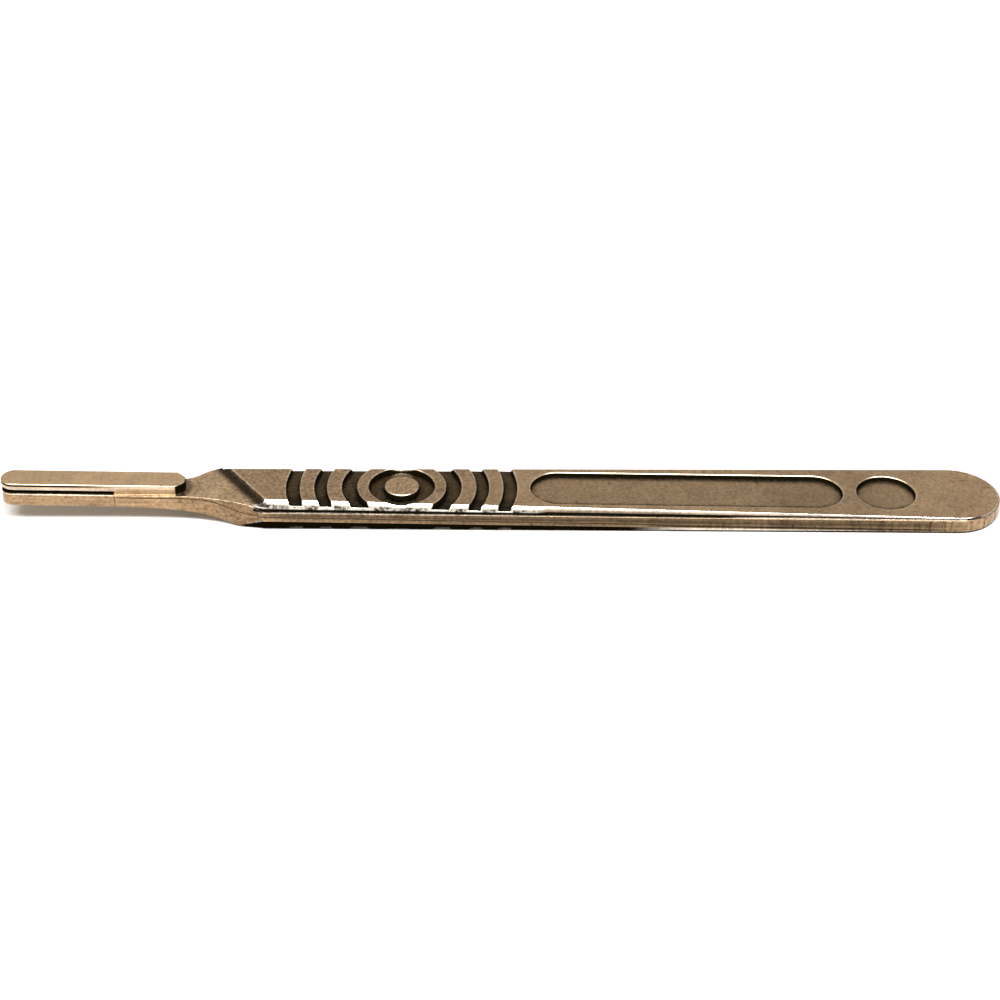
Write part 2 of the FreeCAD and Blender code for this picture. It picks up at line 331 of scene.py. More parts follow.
@dataclass(eq=False)
class Surface:
    """Where a shaded point is on the handle, in millimetres, and which way it faces.

    skin is the depth under the nearer face, and inward the distance in from the outline. up and aft are how
    far the normal points up and to the tail.
    """

    graph: Graph
    form: HandleForm
    station: Signal
    across: Signal
    height: Signal
    depth: Signal
    skin: Signal
    inward: Signal
    up: Signal
    aft: Signal

    @classmethod
    def of(cls, graph: Graph, form: HandleForm) -> "Surface":
        """Reads the point and its normal.

        Args:
            graph: The material's graph.
            form: The handle's sizes.

        Returns:
            The surface point.
        """
        geometry = graph.node("ShaderNodeNewGeometry")
        place = graph.node("ShaderNodeSeparateXYZ", None, {0: geometry.outputs["Position"]})
        facing = graph.node("ShaderNodeSeparateXYZ", None, {0: geometry.outputs["Normal"]})
        station = Signal(graph, place.outputs[0]) * (1 / MM) + form.length / 2
        across = Signal(graph, place.outputs[1]) * (1 / MM)
        height = Signal(graph, place.outputs[2]) * (1 / MM)
        depth = form.thickness(station) - height
        past = (station - form.tail_centre).at_least(0.0)
        reach = (past * past + across * across).root()
        return cls(
            graph=graph,
            form=form,
            station=station,
            across=across,
            height=height,
            depth=depth,
            skin=depth.at_most(height),
            inward=form.half_width(station) - reach,
            up=Signal(graph, facing.outputs[2]),
            aft=Signal(graph, facing.outputs[0]),
        )

    def vector(self, lay: Lay) -> bpy.types.NodeSocket:
        """The point in millimetres, squeezed so that noise over it runs with the lay.

        Args:
            lay: The way that the marks run.

        Returns:
            The vector's socket.
        """
        along, across, upright = lay.value
        values = {0: self.station * along, 1: self.across * across, 2: self.height * upright}
        return self.graph.node("ShaderNodeCombineXYZ", None, values).outputs[0]

    @cache
    def marks(self, lay: Lay, scale: float, detail: float = 2.0) -> Signal:
        """Noise with a lay.

        Args:
            lay: The way that the marks run.
            scale: Marks to a millimetre across the lay.
            detail: Octaves of finer noise.

        Returns:
            The noise around 0.
        """
        return self.graph.noise(self.vector(lay), scale, detail) - 0.5

    @cache
    def spots(self, scale: float, low: float, high: float) -> Signal:
        """Scattered soft spots, from 0 to 1.

        Args:
            scale: Spots to a millimetre, about.
            low: The noise level where a spot starts.
            high: The noise level where it is full.

        Returns:
            The spots.
        """
        return self.graph.noise(self.vector(Lay.EVEN), scale, 1.0).rise(low, high)


@dataclass(frozen=True)
class BladeSeat:
    """The fitting, the seat and the coved shoulder, ahead of the grip.

    Levels, the slot's top and foot and the rim's shadow are depths under the upper face, negative above it.
    rear_flatness is 0 for round rear corners on the bar and 1 for plain chamfers.
    """

    shoulder_station: float = 32.25
    shoulder_lean: float = 35.4
    cove_width: float = 0.9
    slot_end: float = 14.9
    slot_top: float = 0.36
    slot_foot: float = 0.83
    bar_length: float = 24.1
    bar_half_width: float = 1.79
    rear_radius: float = 1.2
    rear_flatness: float = 0.85
    rear_height: float = 3.6
    bar_levels: tuple[float, float] = (-0.4, 0.38)
    bar_edge: tuple[float, float] = (1.9, 1.84)
    rim_line: tuple[float, float] = (-0.16, 0.0)
    rim_shadow: tuple[float, float] = (-0.36, -0.14)
    tongue_rim_levels: tuple[float, float] = (0.74, 0.93)
    near_corner: float = 34.5
    far_corner: float = 27.8

    @cache
    def ahead(self, point: Surface) -> Signal:
        """Distance ahead of the shoulder's rim, square to it.

        Args:
            point: The surface point.

        Returns:
            The distance, negative behind the rim.
        """
        lean = math.radians(self.shoulder_lean)
        along = (self.shoulder_station - point.station) * math.cos(lean)
        return along - point.across * math.sin(lean)

    @cache
    def mask(self, point: Surface) -> Signal:
        """1 on the seat, the fitting and the neck."""
        return self.ahead(point).rise(0.0, 0.2)

    @cache
    def body_side(self, point: Surface, lead: float = 0.0) -> Signal:
        """1 on the sides behind the corner where each side's flare ends.

        Args:
            point: The surface point.
            lead: How far ahead of the corners it starts.

        Returns:
            The mask.
        """
        near = point.across.rise(0.5, -0.5)
        corner = self.far_corner - lead + near * (self.near_corner - self.far_corner)
        return (point.station - corner).rise(-0.06, 0.06)

    @cache
    def pad_side(self, point: Surface) -> Signal:
        """1 along the pads' edges, from the near side's fan and from the shoulder's far end."""
        return self.body_side(point, 1.3) * (1 - self.mask(point) * point.across.rise(0.0, 1.0))

    @cache
    def cove(self, point: Surface) -> Signal:
        """1 on the steep part of the cove, fading at its foot, where its shade is painted dark."""
        ahead = self.ahead(point)
        depth = ahead.rise(0.1, 0.6) * 0.15 + 0.85
        return depth * ahead.rise(0.0, 0.1) * ahead.rise(self.cove_width * 2.1, self.cove_width * 0.75)

    @cache
    def rim(self, point: Surface) -> Signal:
        """1 on the thin line along the shoulder's rim, painted bright as a highlight."""
        return self.ahead(point).within(*self.rim_line, 0.06) * point.up.rise(0.9, 0.97)

    @cache
    def slot(self, point: Surface) -> Signal:
        """1 inside the slot that takes the blade, where its shade is painted dark.

        Args:
            point: The surface point.

        Returns:
            The mask.
        """
        level = point.depth.within(self.slot_top, self.slot_foot, 0.04)
        inside = abs(point.across).rise(self.bar_half_width, self.bar_half_width - 0.06)
        return level * inside * point.station.rise(self.slot_end + 0.1, self.slot_end)

    @cache
    def bar_side(self, point: Surface) -> Signal:
        """1 on the upright sides of the bar."""
        return point.depth.within(*self.bar_levels, 0.04) * point.up.rise(0.5, 0.3) * self.on_bar(point)

    @cache
    def on_bar(self, point: Surface) -> Signal:
        """1 within the bar's outline."""
        along = point.station.rise(self.bar_length + 0.2, self.bar_length + 0.1)
        return along * abs(point.across).rise(*self.bar_edge)

    @cache
    def bar_shade(self, point: Surface) -> Signal:
        """1 on the bar's rear end, in the thin line under its rim and on the seat beside its rear end.

        Args:
            point: The surface point.

        Returns:
            The mask.
        """
        rear = point.aft.rise(0.25, 0.6) * point.depth.within(-0.4, 0.9, 0.05) * self.on_bar(point)
        under_rim = point.depth.within(*self.rim_shadow, 0.04) * point.station.rise(19.0, 9.0)
        under_rim = under_rim * point.aft.rise(0.3, 0.1) * self.bar_side(point)
        past = (point.station - self.bar_length + self.rear_radius).at_least(0.0)
        off_bar = (past * past + point.across * point.across).root()
        beside = off_bar.rise(2.5, 1.7) * past.rise(0.5, 1.0) * point.depth.rise(0.6, 0.7)
        return rear + under_rim + beside * 0.6

    @cache
    def tongue_rim_highlight(self, point: Surface) -> Signal:
        """1 on the tongue's rim under the slot, painted bright as a highlight."""
        level = point.depth.within(*self.tongue_rim_levels, 0.04)
        return level * point.station.rise(self.slot_end + 0.05, self.slot_end)

    # The step's line is painted shade: it is drawn dark as the step's shadow.
    @cache
    def step(self, point: Surface) -> Signal:
        """1 on the thin upright line where the slot's cutter stopped on the tongue's side."""
        return abs(point.station - self.slot_end - 0.08).rise(0.1, 0.03) * point.depth.rise(0.4, 0.5)


@dataclass(frozen=True)
class Grip:
    """The ring-shaped grooves around the round boss."""

    centre_station: float = 52.45
    grooves: tuple[tuple[float, float], ...] = ((2.28, 4.33), (5.87, 7.85), (9.84, 11.44), (13.39, 15.13))
    stretch: tuple[float, float] = (33.0, 70.0)
    light_patch_reach: tuple[float, float] = (5.2, 4.2)
    light_patch_side: tuple[float, float] = (-1.6, -3.6)

    @cache
    def radius(self, point: Surface) -> Signal:
        """Distance from the grip's axis."""
        along = point.station - self.centre_station
        return (along * along + point.across * point.across).root()

    @cache
    def distance(self, point: Surface) -> Signal:
        """Distance to the nearest groove's edge in plan, negative in a groove.

        Args:
            point: The surface point.

        Returns:
            The distance.
        """
        radius = self.radius(point)
        edges = (abs(radius - (inner + outer) / 2) - (outer - inner) / 2 for inner, outer in self.grooves)
        return reduce(Signal.at_most, edges)

    @cache
    def boss(self, point: Surface) -> Signal:
        """1 on the boss in the middle."""
        return self.radius(point).rise(self.grooves[0][0] + 0.05, self.grooves[0][0] - 0.05)

    @cache
    def light_patch(self, point: Surface) -> Signal:
        """1 on the groove floor beside the boss on the near side, which is painted lighter as the light it
        catches.
        """
        return self.radius(point).rise(*self.light_patch_reach) * point.across.rise(*self.light_patch_side)

    @cache
    def beside(self, point: Surface) -> Signal:
        """1 along the stretch of pad edge that the ridges run out to."""
        start, end = self.stretch
        return point.station.within(start, end, 1.5)


@dataclass(frozen=True)
class Panels:
    """The long sunk panel with round ends and the round one behind it, both on the upper face."""

    front: float = 69.33
    rear: float = 110.4
    width: float = 7.45
    round_station: float = 116.13
    round_radius: float = 3.875

    @cache
    def distance(self, point: Surface) -> Signal:
        """Distance to the nearer panel's edge in plan, negative in a panel.

        Args:
            point: The surface point.

        Returns:
            The distance.
        """
        radius = self.width / 2
        middle, reach = (self.front + self.rear) / 2, (self.rear - self.front) / 2 - radius
        beyond = (abs(point.station - middle) - reach).at_least(0.0)
        past = point.station - self.round_station
        square = point.across * point.across
        long_panel = (beyond * beyond + square).root() - radius
        return long_panel.at_most((past * past + square).root() - self.round_radius)


@dataclass(frozen=True)
class Recesses:
    """What the grooves and the panels have in common: floors, walls and floor corners painted dark as shade,
    and painted highlights beside the rims.
    """

    grip: Grip
    panels: Panels
    floor_depths: tuple[float, float] = (0.5, 0.8)
    wall_depths: tuple[float, float] = (0.14, 0.72)
    wall_reach: tuple[float, float] = (-0.6, 0.3)
    rim_width: float = 0.15

    @cache
    def nearest(self, point: Surface) -> Signal:
        """Distance to the nearest recess's edge in plan, negative in a recess."""
        return self.grip.distance(point).at_most(self.panels.distance(point))

    @cache
    def floors(self, point: Surface, distance: Signal) -> Signal:
        """1 on the floors of the recesses that the distance is to."""
        level = point.skin.within(*self.floor_depths, 0.05) * abs(point.up).rise(0.85, 0.95)
        return level * distance.rise(0.05, -0.05)

    @cache
    def walls(self, point: Surface) -> Signal:
        """1 on the walls of grooves and panels, which are painted near black as shade.

        Args:
            point: The surface point.

        Returns:
            The mask.
        """
        level = point.skin.within(*self.wall_depths, 0.04) * abs(point.up).rise(0.95, 0.85)
        return level * self.nearest(point).within(*self.wall_reach, 0.1)

    @cache
    def chamfers(self, point: Surface) -> Signal:
        """1 on the broken rims, in stretches, tinted pale: partly their polish, partly a painted highlight.
        """
        level = point.skin.rise(0.17, 0.12) * abs(point.up).within(0.45, 0.93, 0.04)
        return level * point.spots(0.9, 0.35, 0.6)

    @cache
    def rim_highlights(self, point: Surface) -> Signal:
        """1 on the thin lines of face beside the rims, painted bright as highlights.

        Args:
            point: The surface point.

        Returns:
            The mask.
        """
        return self.nearest(point).within(0.0, self.rim_width, 0.08) * point.skin.rise(0.12, 0.06)

    @cache
    def corners(self, point: Surface) -> Signal:
        """1 where a floor is painted darker towards its walls, sooner at the near wall, as shade."""
        nearest = self.nearest(point)
        near_wall = nearest.rise(-1.45, -0.9) * point.across.rise(-1.5, -2.6)
        dark = nearest.rise(-0.5, 0.0) * 0.6 + nearest.rise(-1.3, -0.2) * 0.35 + near_wall * 0.5
        return dark.clamped() * self.floors(point, nearest)


@dataclass(frozen=True)
class TrimmedEdge:
    """The side of the handle: the trimmed band with its crease and lines, and the pads' rolled edges."""

    neck_crease: float = 1.15
    crease_front: float = 2.464
    crease_slope: float = -0.00621
    crease_bend: tuple[float, float] = (26.3, 32.5)
    crease_start: float = 15.0
    chatter_stretch: tuple[float, float] = (62.0, 112.0)
    rule_front: float = 105.2
    rule_rear: float = 125.2
    rule_half_pitch: float = 0.5
    shoulder_stretch: tuple[float, float] = (39.0, 34.4)
    dim_middle_stretch: tuple[float, float] = (45.0, 75.0)
    bright_rear_stretch: tuple[float, float] = (85.0, 112.0)
    foot_line_height: float = 0.27
    foot_line_stretch: tuple[float, float] = (88.0, 120.0)
    pale_stretch: tuple[float, float] = (121.0, 128.0)
    tail_round: tuple[float, float] = (124.5, 126.5)
    thin_foot: tuple[float, float] = (84.0, 104.0)
    strip_end: tuple[float, float] = (126.0, 127.6)
    fan_rear: float = 34.6
    fan_widening: float = 0.45
    nicks: tuple[float, ...] = (128.35, 129.95)
    layers: tuple[tuple[float, float], ...] = (
        (0.0, 0.14), (0.04, 0.5), (0.13, 0.42), (0.3, 0.25), (0.38, 0.33), (0.44, 0.62), (0.47, 0.5),
        (0.5, 0.10), (0.55, 0.22), (0.63, 0.48), (0.8, 0.6), (0.91, 0.6), (0.95, 1.0), (1.0, 1.0),
    )

    @cache
    def upright(self, point: Surface) -> Signal:
        """1 where the surface is upright and outside the pads.

        Args:
            point: The surface point.

        Returns:
            The mask.
        """
        return abs(point.up).rise(0.30, 0.18) * point.skin.rise(0.0, 0.05)

    @cache
    def on_band(self, point: Surface) -> Signal:
        """1 at the heights of the trimmed band."""
        return (point.skin - point.form.shelf(point.station)).rise(-0.05, 0.0)

    @cache
    def crease_depth(self, point: Surface) -> Signal:
        """Depth of the crease under the upper face."""
        rear = self.crease_front - self.neck_crease + self.crease_slope * point.station
        return self.neck_crease + point.station.rise(*self.crease_bend) * rear

    @cache
    def crease(self, point: Surface) -> Signal:
        """1 along the thin line where the shear left off, painted dark as the crease's shadow."""
        along = point.station.rise(self.crease_start, self.crease_start + 0.2)
        return abs(point.depth - self.crease_depth(point)).rise(0.12, 0.03) * along

    @cache
    def layering(self, point: Surface) -> Signal:
        """Brightness over the band's height, from its top to the crease and on to its foot.

        Args:
            point: The surface point.

        Returns:
            The brightness, 1 at a middle tone.
        """
        shelf = point.form.shelf(point.station)
        crease = self.crease_depth(point)
        foot = shelf + point.form.band(point.station)
        above = ((point.depth - shelf) / (crease - shelf)).clamped()
        below = ((point.depth - crease) / (foot - crease)).clamped()
        # The ramp's dark top and crease are painted shade and its bright foot a painted highlight,  over the
        # band's own layers.
        stops = [(place, (tone, tone, tone)) for place, tone in self.layers]
        ramp = point.graph.node("ShaderNodeValToRGB", {"stops": stops}, {0: (above + below) * 0.5})
        tone = Signal(point.graph, ramp.outputs[0]) * 2.0
        return tone + point.station.rise(*self.pale_stretch) * (1.9 - tone * 0.8)

    @cache
    def band_brightness(self, point: Surface) -> Signal:
        """Brightness along the band.

        Args:
            point: The surface point.

        Returns:
            The brightness: pale beside the shoulder, where it paints the corner's highlight, darker in the
            middle and brighter at the rear.
        """
        pale = point.station.rise(*self.shoulder_stretch) * 0.4
        dim_middle = point.station.rise(*self.dim_middle_stretch) * 0.3
        return 1.05 + pale - dim_middle + point.station.rise(*self.bright_rear_stretch) * 0.15

    @cache
    def at_tail(self, point: Surface) -> Signal:
        """1 round the tail's end."""
        return point.station.rise(*self.tail_round)

    @cache
    def nick(self, point: Surface) -> Signal:
        """1 in the two upright nicks in the band near the tail's end, painted dark as their shade."""
        marks = sum(abs(point.station - place).rise(0.07, 0.02) for place in self.nicks)
        return marks * point.across.rise(0.0, -0.1)

    @cache
    def chatter(self, point: Surface) -> Signal:
        """Upright marks that grow towards the tail.

        Args:
            point: The surface point.

        Returns:
            The marks, around 0.
        """
        patches = point.spots(0.11, 0.42, 0.6)
        growth = point.station.rise(*self.chatter_stretch)
        return point.marks(Lay.CROSSWISE, 2.2, 3.0) * growth * (0.4 + patches)

    @cache
    def lines(self, point: Surface) -> Signal:
        """Lines that run along the band, around 0."""
        return point.marks(Lay.LENGTHWISE, 3.2, 3.0)

    @cache
    def pad_edge(self, point: Surface) -> Signal:
        """1 on the pads' rolled edges.

        Args:
            point: The surface point.

        Returns:
            The mask.
        """
        share = self.share(point)
        left = (1 - share).at_least(0.0)
        slope = point.form.pad_edge_slope * point.form.shelf(point.station)
        fan = (self.fan_rear - point.station).at_least(0.0) * self.fan_widening
        fan = fan * point.across.rise(0.0, -1.0) * point.depth.rise(2.6, 2.2)
        limit = slope * left * left + point.form.pad_ledge + fan
        outer = (point.inward - limit).rise(0.2, 0.1)
        return outer * share.rise(1.02, 0.98) * abs(point.up).rise(0.97, 0.93)

    @cache
    def share(self, point: Surface) -> Signal:
        """How far down its pad's edge the point is, from 0 at the face to 1 at the band."""
        return point.skin / point.form.shelf(point.station)

    @cache
    def shaded_roll(self, point: Surface, beside_grip: Signal) -> Signal:
        """1 on the parts of the rolled edges that are painted dark, as their shade and dark reflections.

        Args:
            point: The surface point.
            beside_grip: 1 along the grip.

        Returns:
            The mask.
        """
        share = self.share(point)
        thinning = point.station.rise(*self.thin_foot)
        foot = (share - beside_grip * 0.13 + thinning * 0.1).rise(0.5, 0.6)
        foot = foot * (1 - thinning * share.rise(0.72, 0.84) * 0.45)
        grey = share.rise(0.28, 0.36) * (1 - beside_grip) * (1 - thinning) * 0.55
        end = point.station.within(*self.strip_end, 0.4) * share.rise(0.25, 0.4) * 0.95
        dark = foot * (1 - self.at_tail(point)) + grey + end
        return dark.clamped() * point.up.rise(-0.05, 0.0)

    @cache
    def underside_shade(self, point: Surface) -> Signal:
        """1 on the slopes under the band, which face the floor and are painted black as shade."""
        whole = point.station.rise(30.5, 31.0) * point.station.rise(92.0, 82.0)
        lowest = point.station.rise(80.0, 88.0) * point.height.rise(0.4, 0.28)
        return point.up.within(-0.93, -0.1, 0.05) * whole.at_least(lowest)

    @cache
    def foot_shadow_line(self, point: Surface) -> Signal:
        """1 along the line over the band's foot, on the rear half, painted dark as a shadow line."""
        foot = point.form.shelf(point.station) + point.form.band(point.station)
        line = abs(point.depth - foot + self.foot_line_height).rise(0.15, 0.07)
        return line * point.station.within(*self.foot_line_stretch, 5.0)

    @cache
    def rule_notch_shade(self, point: Surface) -> Signal:
        """1 in the ends of the rule's marks, which notch the lower pad's near edge and are painted dark as
        shade.
        """
        to_mark = (point.station - self.rule_front).swing(self.rule_half_pitch)
        along = point.station.within(self.rule_front - 0.2, self.rule_rear + 0.2, 0.05)
        return to_mark.rise(0.24, 0.14) * along * point.height.rise(0.45, 0.3) * point.across.rise(-2.0, -2.1)


@dataclass(frozen=True)
class Region:
    """A part of the surface with its own tint and roughness."""

    mask: Signal
    tint: Colour
    roughness: float


@dataclass(frozen=True)
class Tints:
    """The metal's tint in each region, as linear colours, and the near black that painted shade is mixed
    towards. Some tints paint shade or highlights, as noted on each.
    """

    face: Colour = (0.47, 0.352, 0.235)
    # The near black that painted shade mixes the colour towards.
    dark: Colour = (0.004, 0.003, 0.001)
    tail: Colour = (0.50, 0.36, 0.235)
    seat: Colour = (0.56, 0.43, 0.288)
    bar_top: Colour = (0.69, 0.53, 0.355)
    # A painted highlight, for the thin bright lines along the shoulder's rim and beside the recesses' rims.
    rim_highlight: Colour = (0.72, 0.58, 0.42)
    boss: Colour = (0.56, 0.42, 0.282)
    panel: Colour = (0.36, 0.272, 0.178)
    # Groove floors are tinted far darker than the face, painting the grooves' shade and dark reflection.
    groove: Colour = (0.105, 0.075, 0.037)
    # A painted patch of light on the near groove floor beside the boss.
    lit_groove_patch: Colour = (0.22, 0.16, 0.1)
    # Partly the edge breaks' polish and partly a painted highlight.
    chamfer: Colour = (0.7, 0.6, 0.48)
    neck_side: Colour = (0.39, 0.257, 0.145)
    tip_side: Colour = (0.6, 0.5, 0.4)
    # A painted highlight along the tongue's rim under the slot.
    tongue_rim_highlight: Colour = (0.95, 0.85, 0.7)
    band: Colour = (0.20, 0.135, 0.078)
    pad_edge: Colour = (0.66, 0.58, 0.5)
    grip_edge: Colour = (0.95, 0.91, 0.85)


@dataclass(frozen=True)
class SatinSteel:
    """The handle's finish: satin metal with a bright rolled pad edge, painted shade in its recesses and on
    parts turned from the light, and painted highlights along some rims.
    """

    form: HandleForm = HandleForm()
    seat: BladeSeat = BladeSeat()
    grip: Grip = Grip()
    panels: Panels = Panels()
    edge: TrimmedEdge = TrimmedEdge()
    tints: Tints = Tints()
    face_roughness: float = 0.36
    stain_strength: float = 0.6
    pit_strength: float = 0.35
    neck_dimming: float = 0.36
    dimming: float = 0.14
    dim_stretches: tuple[tuple[float, float], ...] = ((36.0, 62.0), (104.0, 112.5))
    relief_depth: float = 0.02
    relief_strength: float = 0.35

    @property
    def recesses(self) -> Recesses:
        """The grooves and the panels together."""
        return Recesses(self.grip, self.panels)

    def regions(self, point: Surface) -> tuple[Region, ...]:
        """Lists the surface's regions, each over the ones before it.

        Args:
            point: The surface point.

        Returns:
            The regions.
        """
        recesses, tints = self.recesses, self.tints
        ahead = self.seat.mask(point)
        body_side = self.seat.body_side(point)
        upright = self.edge.upright(point)
        pad_edge = self.edge.pad_edge(point) * self.seat.pad_side(point)
        grooves = recesses.floors(point, self.grip.distance(point)) * (1 - ahead)
        panels = recesses.floors(point, self.panels.distance(point)) * point.up.rise(0.0, 0.1)
        behind = (1 - ahead) * (1 - pad_edge)
        neck_side = upright * (1 - body_side)
        tip_side = neck_side * self.seat.bar_side(point) * point.station.rise(17.0, 12.0)
        # Of these, the groove tint is painted shade, the lighter near groove patch is painted light, and the
        # rim  and tongue rim tints are painted highlights.
        return (
            Region(self.edge.at_tail(point), tints.tail, 0.36),
            Region(ahead, tints.seat, 0.34),
            Region(self.seat.on_bar(point) * point.depth.rise(0.0, -0.1), tints.bar_top, 0.32),
            Region(self.seat.rim(point), tints.rim_highlight, 0.3),
            Region(self.grip.boss(point), tints.boss, 0.36),
            Region(panels, tints.panel, 0.38),
            Region(grooves, tints.groove, 0.32),
            Region(grooves * self.grip.light_patch(point), tints.lit_groove_patch, 0.34),
            Region(recesses.rim_highlights(point) * behind, tints.rim_highlight, 0.3),
            Region(recesses.chamfers(point) * behind, tints.chamfer, 0.4),
            Region(neck_side, tints.neck_side, 0.30),
            Region(tip_side, tints.tip_side, 0.3),
            Region(neck_side * self.seat.tongue_rim_highlight(point), tints.tongue_rim_highlight, 0.4),
            Region(upright * body_side * self.edge.on_band(point), tints.band, 0.34),
            Region(pad_edge, tints.pad_edge, 0.18),
            Region(pad_edge * self.grip.beside(point), tints.grip_edge, 0.3),
        )

    @cache
    def shade(self, point: Surface) -> Signal:
        """Where painted shade leaves the surface dark: on turned-away walls, in the cove and the slot, in
        shadow lines and on the dark parts of the rolled edges and of the slopes under the band.

        Args:
            point: The surface point.

        Returns:
            The painted shade, from 0 to 1.
        """
        ahead = self.seat.mask(point)
        pad_edge = self.edge.pad_edge(point)
        # The recess walls are painted near black as shade.
        walls = self.recesses.walls(point) * (1 - pad_edge) * (1 - ahead) * self.seat.body_side(point)
        # The rolled edges' dark parts are painted shade.
        roll = self.edge.shaded_roll(point, self.grip.beside(point)) * pad_edge * self.seat.pad_side(point)
        upright = self.edge.upright(point)
        # Painted shadow lines: the crease, the slot's step, the nicks and the line over the band's foot.
        lines = self.edge.crease(point) * 0.8 + self.seat.step(point) * 0.7 + self.edge.nick(point)
        lines = upright * (lines + self.edge.foot_shadow_line(point) * 0.8)
        # The cove is painted dark as its shade.
        cove = self.seat.cove(point) * 0.93 * point.up.rise(0.1, 0.3) * point.skin.rise(0.92, 0.84)
        # The slot's inside and the bar's rear end are painted dark as shade.
        fitting = self.seat.slot(point) + self.seat.bar_shade(point)
        # The slopes under the band and the rule's notches are painted black as shade.
        below = self.edge.underside_shade(point) + self.edge.rule_notch_shade(point) * 0.8
        return (walls + roll + lines + cove + fitting + below).clamped()

    def material(self) -> bpy.types.Material:
        """Builds the material.

        Returns:
            The material.
        """
        made = bpy.data.materials.new("satin_steel")
        made.use_nodes = True
        graph = Graph(made.node_tree)
        point = Surface.of(graph, self.form)
        regions = self.regions(point)
        shade = self.shade(point)
        values = {
            "Base Color": self._colour(point, regions, shade),
            # Where painted shade is full, the surface stops being metal and shows the near black tint.
            "Metallic": 1 - shade.rise(0.9, 1.0),
            "Roughness": self._roughness(point, regions),
            "Specular IOR Level": 0.0,
            "Normal": self._normal(point),
        }
        shader = graph.node("ShaderNodeBsdfPrincipled", None, values)
        graph.node("ShaderNodeOutputMaterial", None, {0: shader.outputs[0]})
        return made

    @cache
    def _worn(self, point: Surface) -> Signal:
        """1 on the lower half of the pad edge under each ridge, where the rolled edge is rough."""
        under = self.grip.distance(point).rise(0.0, 0.3) * self.edge.share(point).rise(0.3, 0.42)
        under = under * point.station.rise(34.2, 35.2)
        return under * self.edge.pad_edge(point) * self.grip.beside(point)

    @cache
    def _trim_lines(self, point: Surface) -> Signal:
        """Lines along the trimmed side and upright marks across it, around 0."""
        return self.edge.upright(point) * (self.edge.lines(point) * 1.1 + self.edge.chatter(point) * 1.8)

    def _colour(self, point: Surface, regions: Sequence[Region], shade: Signal) -> bpy.types.NodeSocket:
        """Mixes the regions' tints and breaks them with stains, grain, pits and lines, and paints shade into
        the floors' corners.

        Args:
            point: The surface point.
            regions: The regions.
            shade: The darkness.

        Returns:
            The colour's socket.
        """
        graph = point.graph
        colour: Value = self.tints.face
        for region in regions:
            colour = graph.blend(region.mask, colour, region.tint)
        upright = self.edge.upright(point)
        band = upright * self.edge.on_band(point) * self.seat.body_side(point)
        corners = self.recesses.corners(point) * (1 - self.seat.mask(point))
        stains = point.marks(Lay.EVEN, 0.3, 3.0) * self.stain_strength
        coarseness = 1.2 + point.station.within(33.0, 50.0, 20.0) * 0.9
        coarseness = coarseness * (1 - self.seat.on_bar(point) * 0.5)
        grain = point.marks(Lay.EVEN, 2.4, 4.0) * coarseness
        # Pits are mixed here with the painted shade in the floors' corners.
        pits_and_corner_shade = point.spots(1.15, 0.66, 0.78) * self.pit_strength + corners
        worn = self._worn(point) * (point.marks(Lay.EVEN, 1.9, 3.0) * 2.6 - 0.62)
        tone = (1 + stains + grain - pits_and_corner_shade + self._trim_lines(point) + worn).at_least(0.05)
        # The band's brightness brings in its painted shade lines and painted highlights.
        tone = tone * (1 + band * (self.edge.layering(point) * self.edge.band_brightness(point) - 1))
        neck_side = upright * (1 - self.seat.body_side(point)) * point.station.rise(19.0, 30.0)
        tone = tone * (1 - neck_side * self.neck_dimming)
        for stretch in self.dim_stretches:
            tone = tone * (1 - point.station.within(*stretch, 6.0) * self.dimming)
        colour = graph.shaded(colour, tone)
        # Painted shade mixes the colour towards the near black tint.
        return graph.blend(shade, colour, self.tints.dark)

    def _roughness(self, point: Surface, regions: Sequence[Region]) -> Signal:
        """Mixes the regions' roughnesses.

        Args:
            point: The surface point.
            regions: The regions.

        Returns:
            The roughness.
        """
        first, *others = regions
        rough = self.face_roughness + first.mask * (first.roughness - self.face_roughness)
        for region in others:
            rough = rough + region.mask * (region.roughness - rough)
        return (rough + point.marks(Lay.EVEN, 1.3, 3.0) * 0.16).clamped()

    def _normal(self, point: Surface) -> bpy.types.NodeSocket:
        """Adds the fine relief of the satin grain, the trimming lines and the worn pad edge.

        Args:
            point: The surface point.

        Returns:
            The normal's socket.
        """
        grain = point.marks(Lay.EVEN, 4.0, 2.0) * 0.7
        worn = self._worn(point) * point.marks(Lay.EVEN, 2.6, 3.0) * 3.0
        height = grain + self._trim_lines(point) + worn
        values = {"Strength": self.relief_strength, "Distance": self.relief_depth * MM, "Height": height}
        return point.graph.node("ShaderNodeBump", None, values).outputs[0]


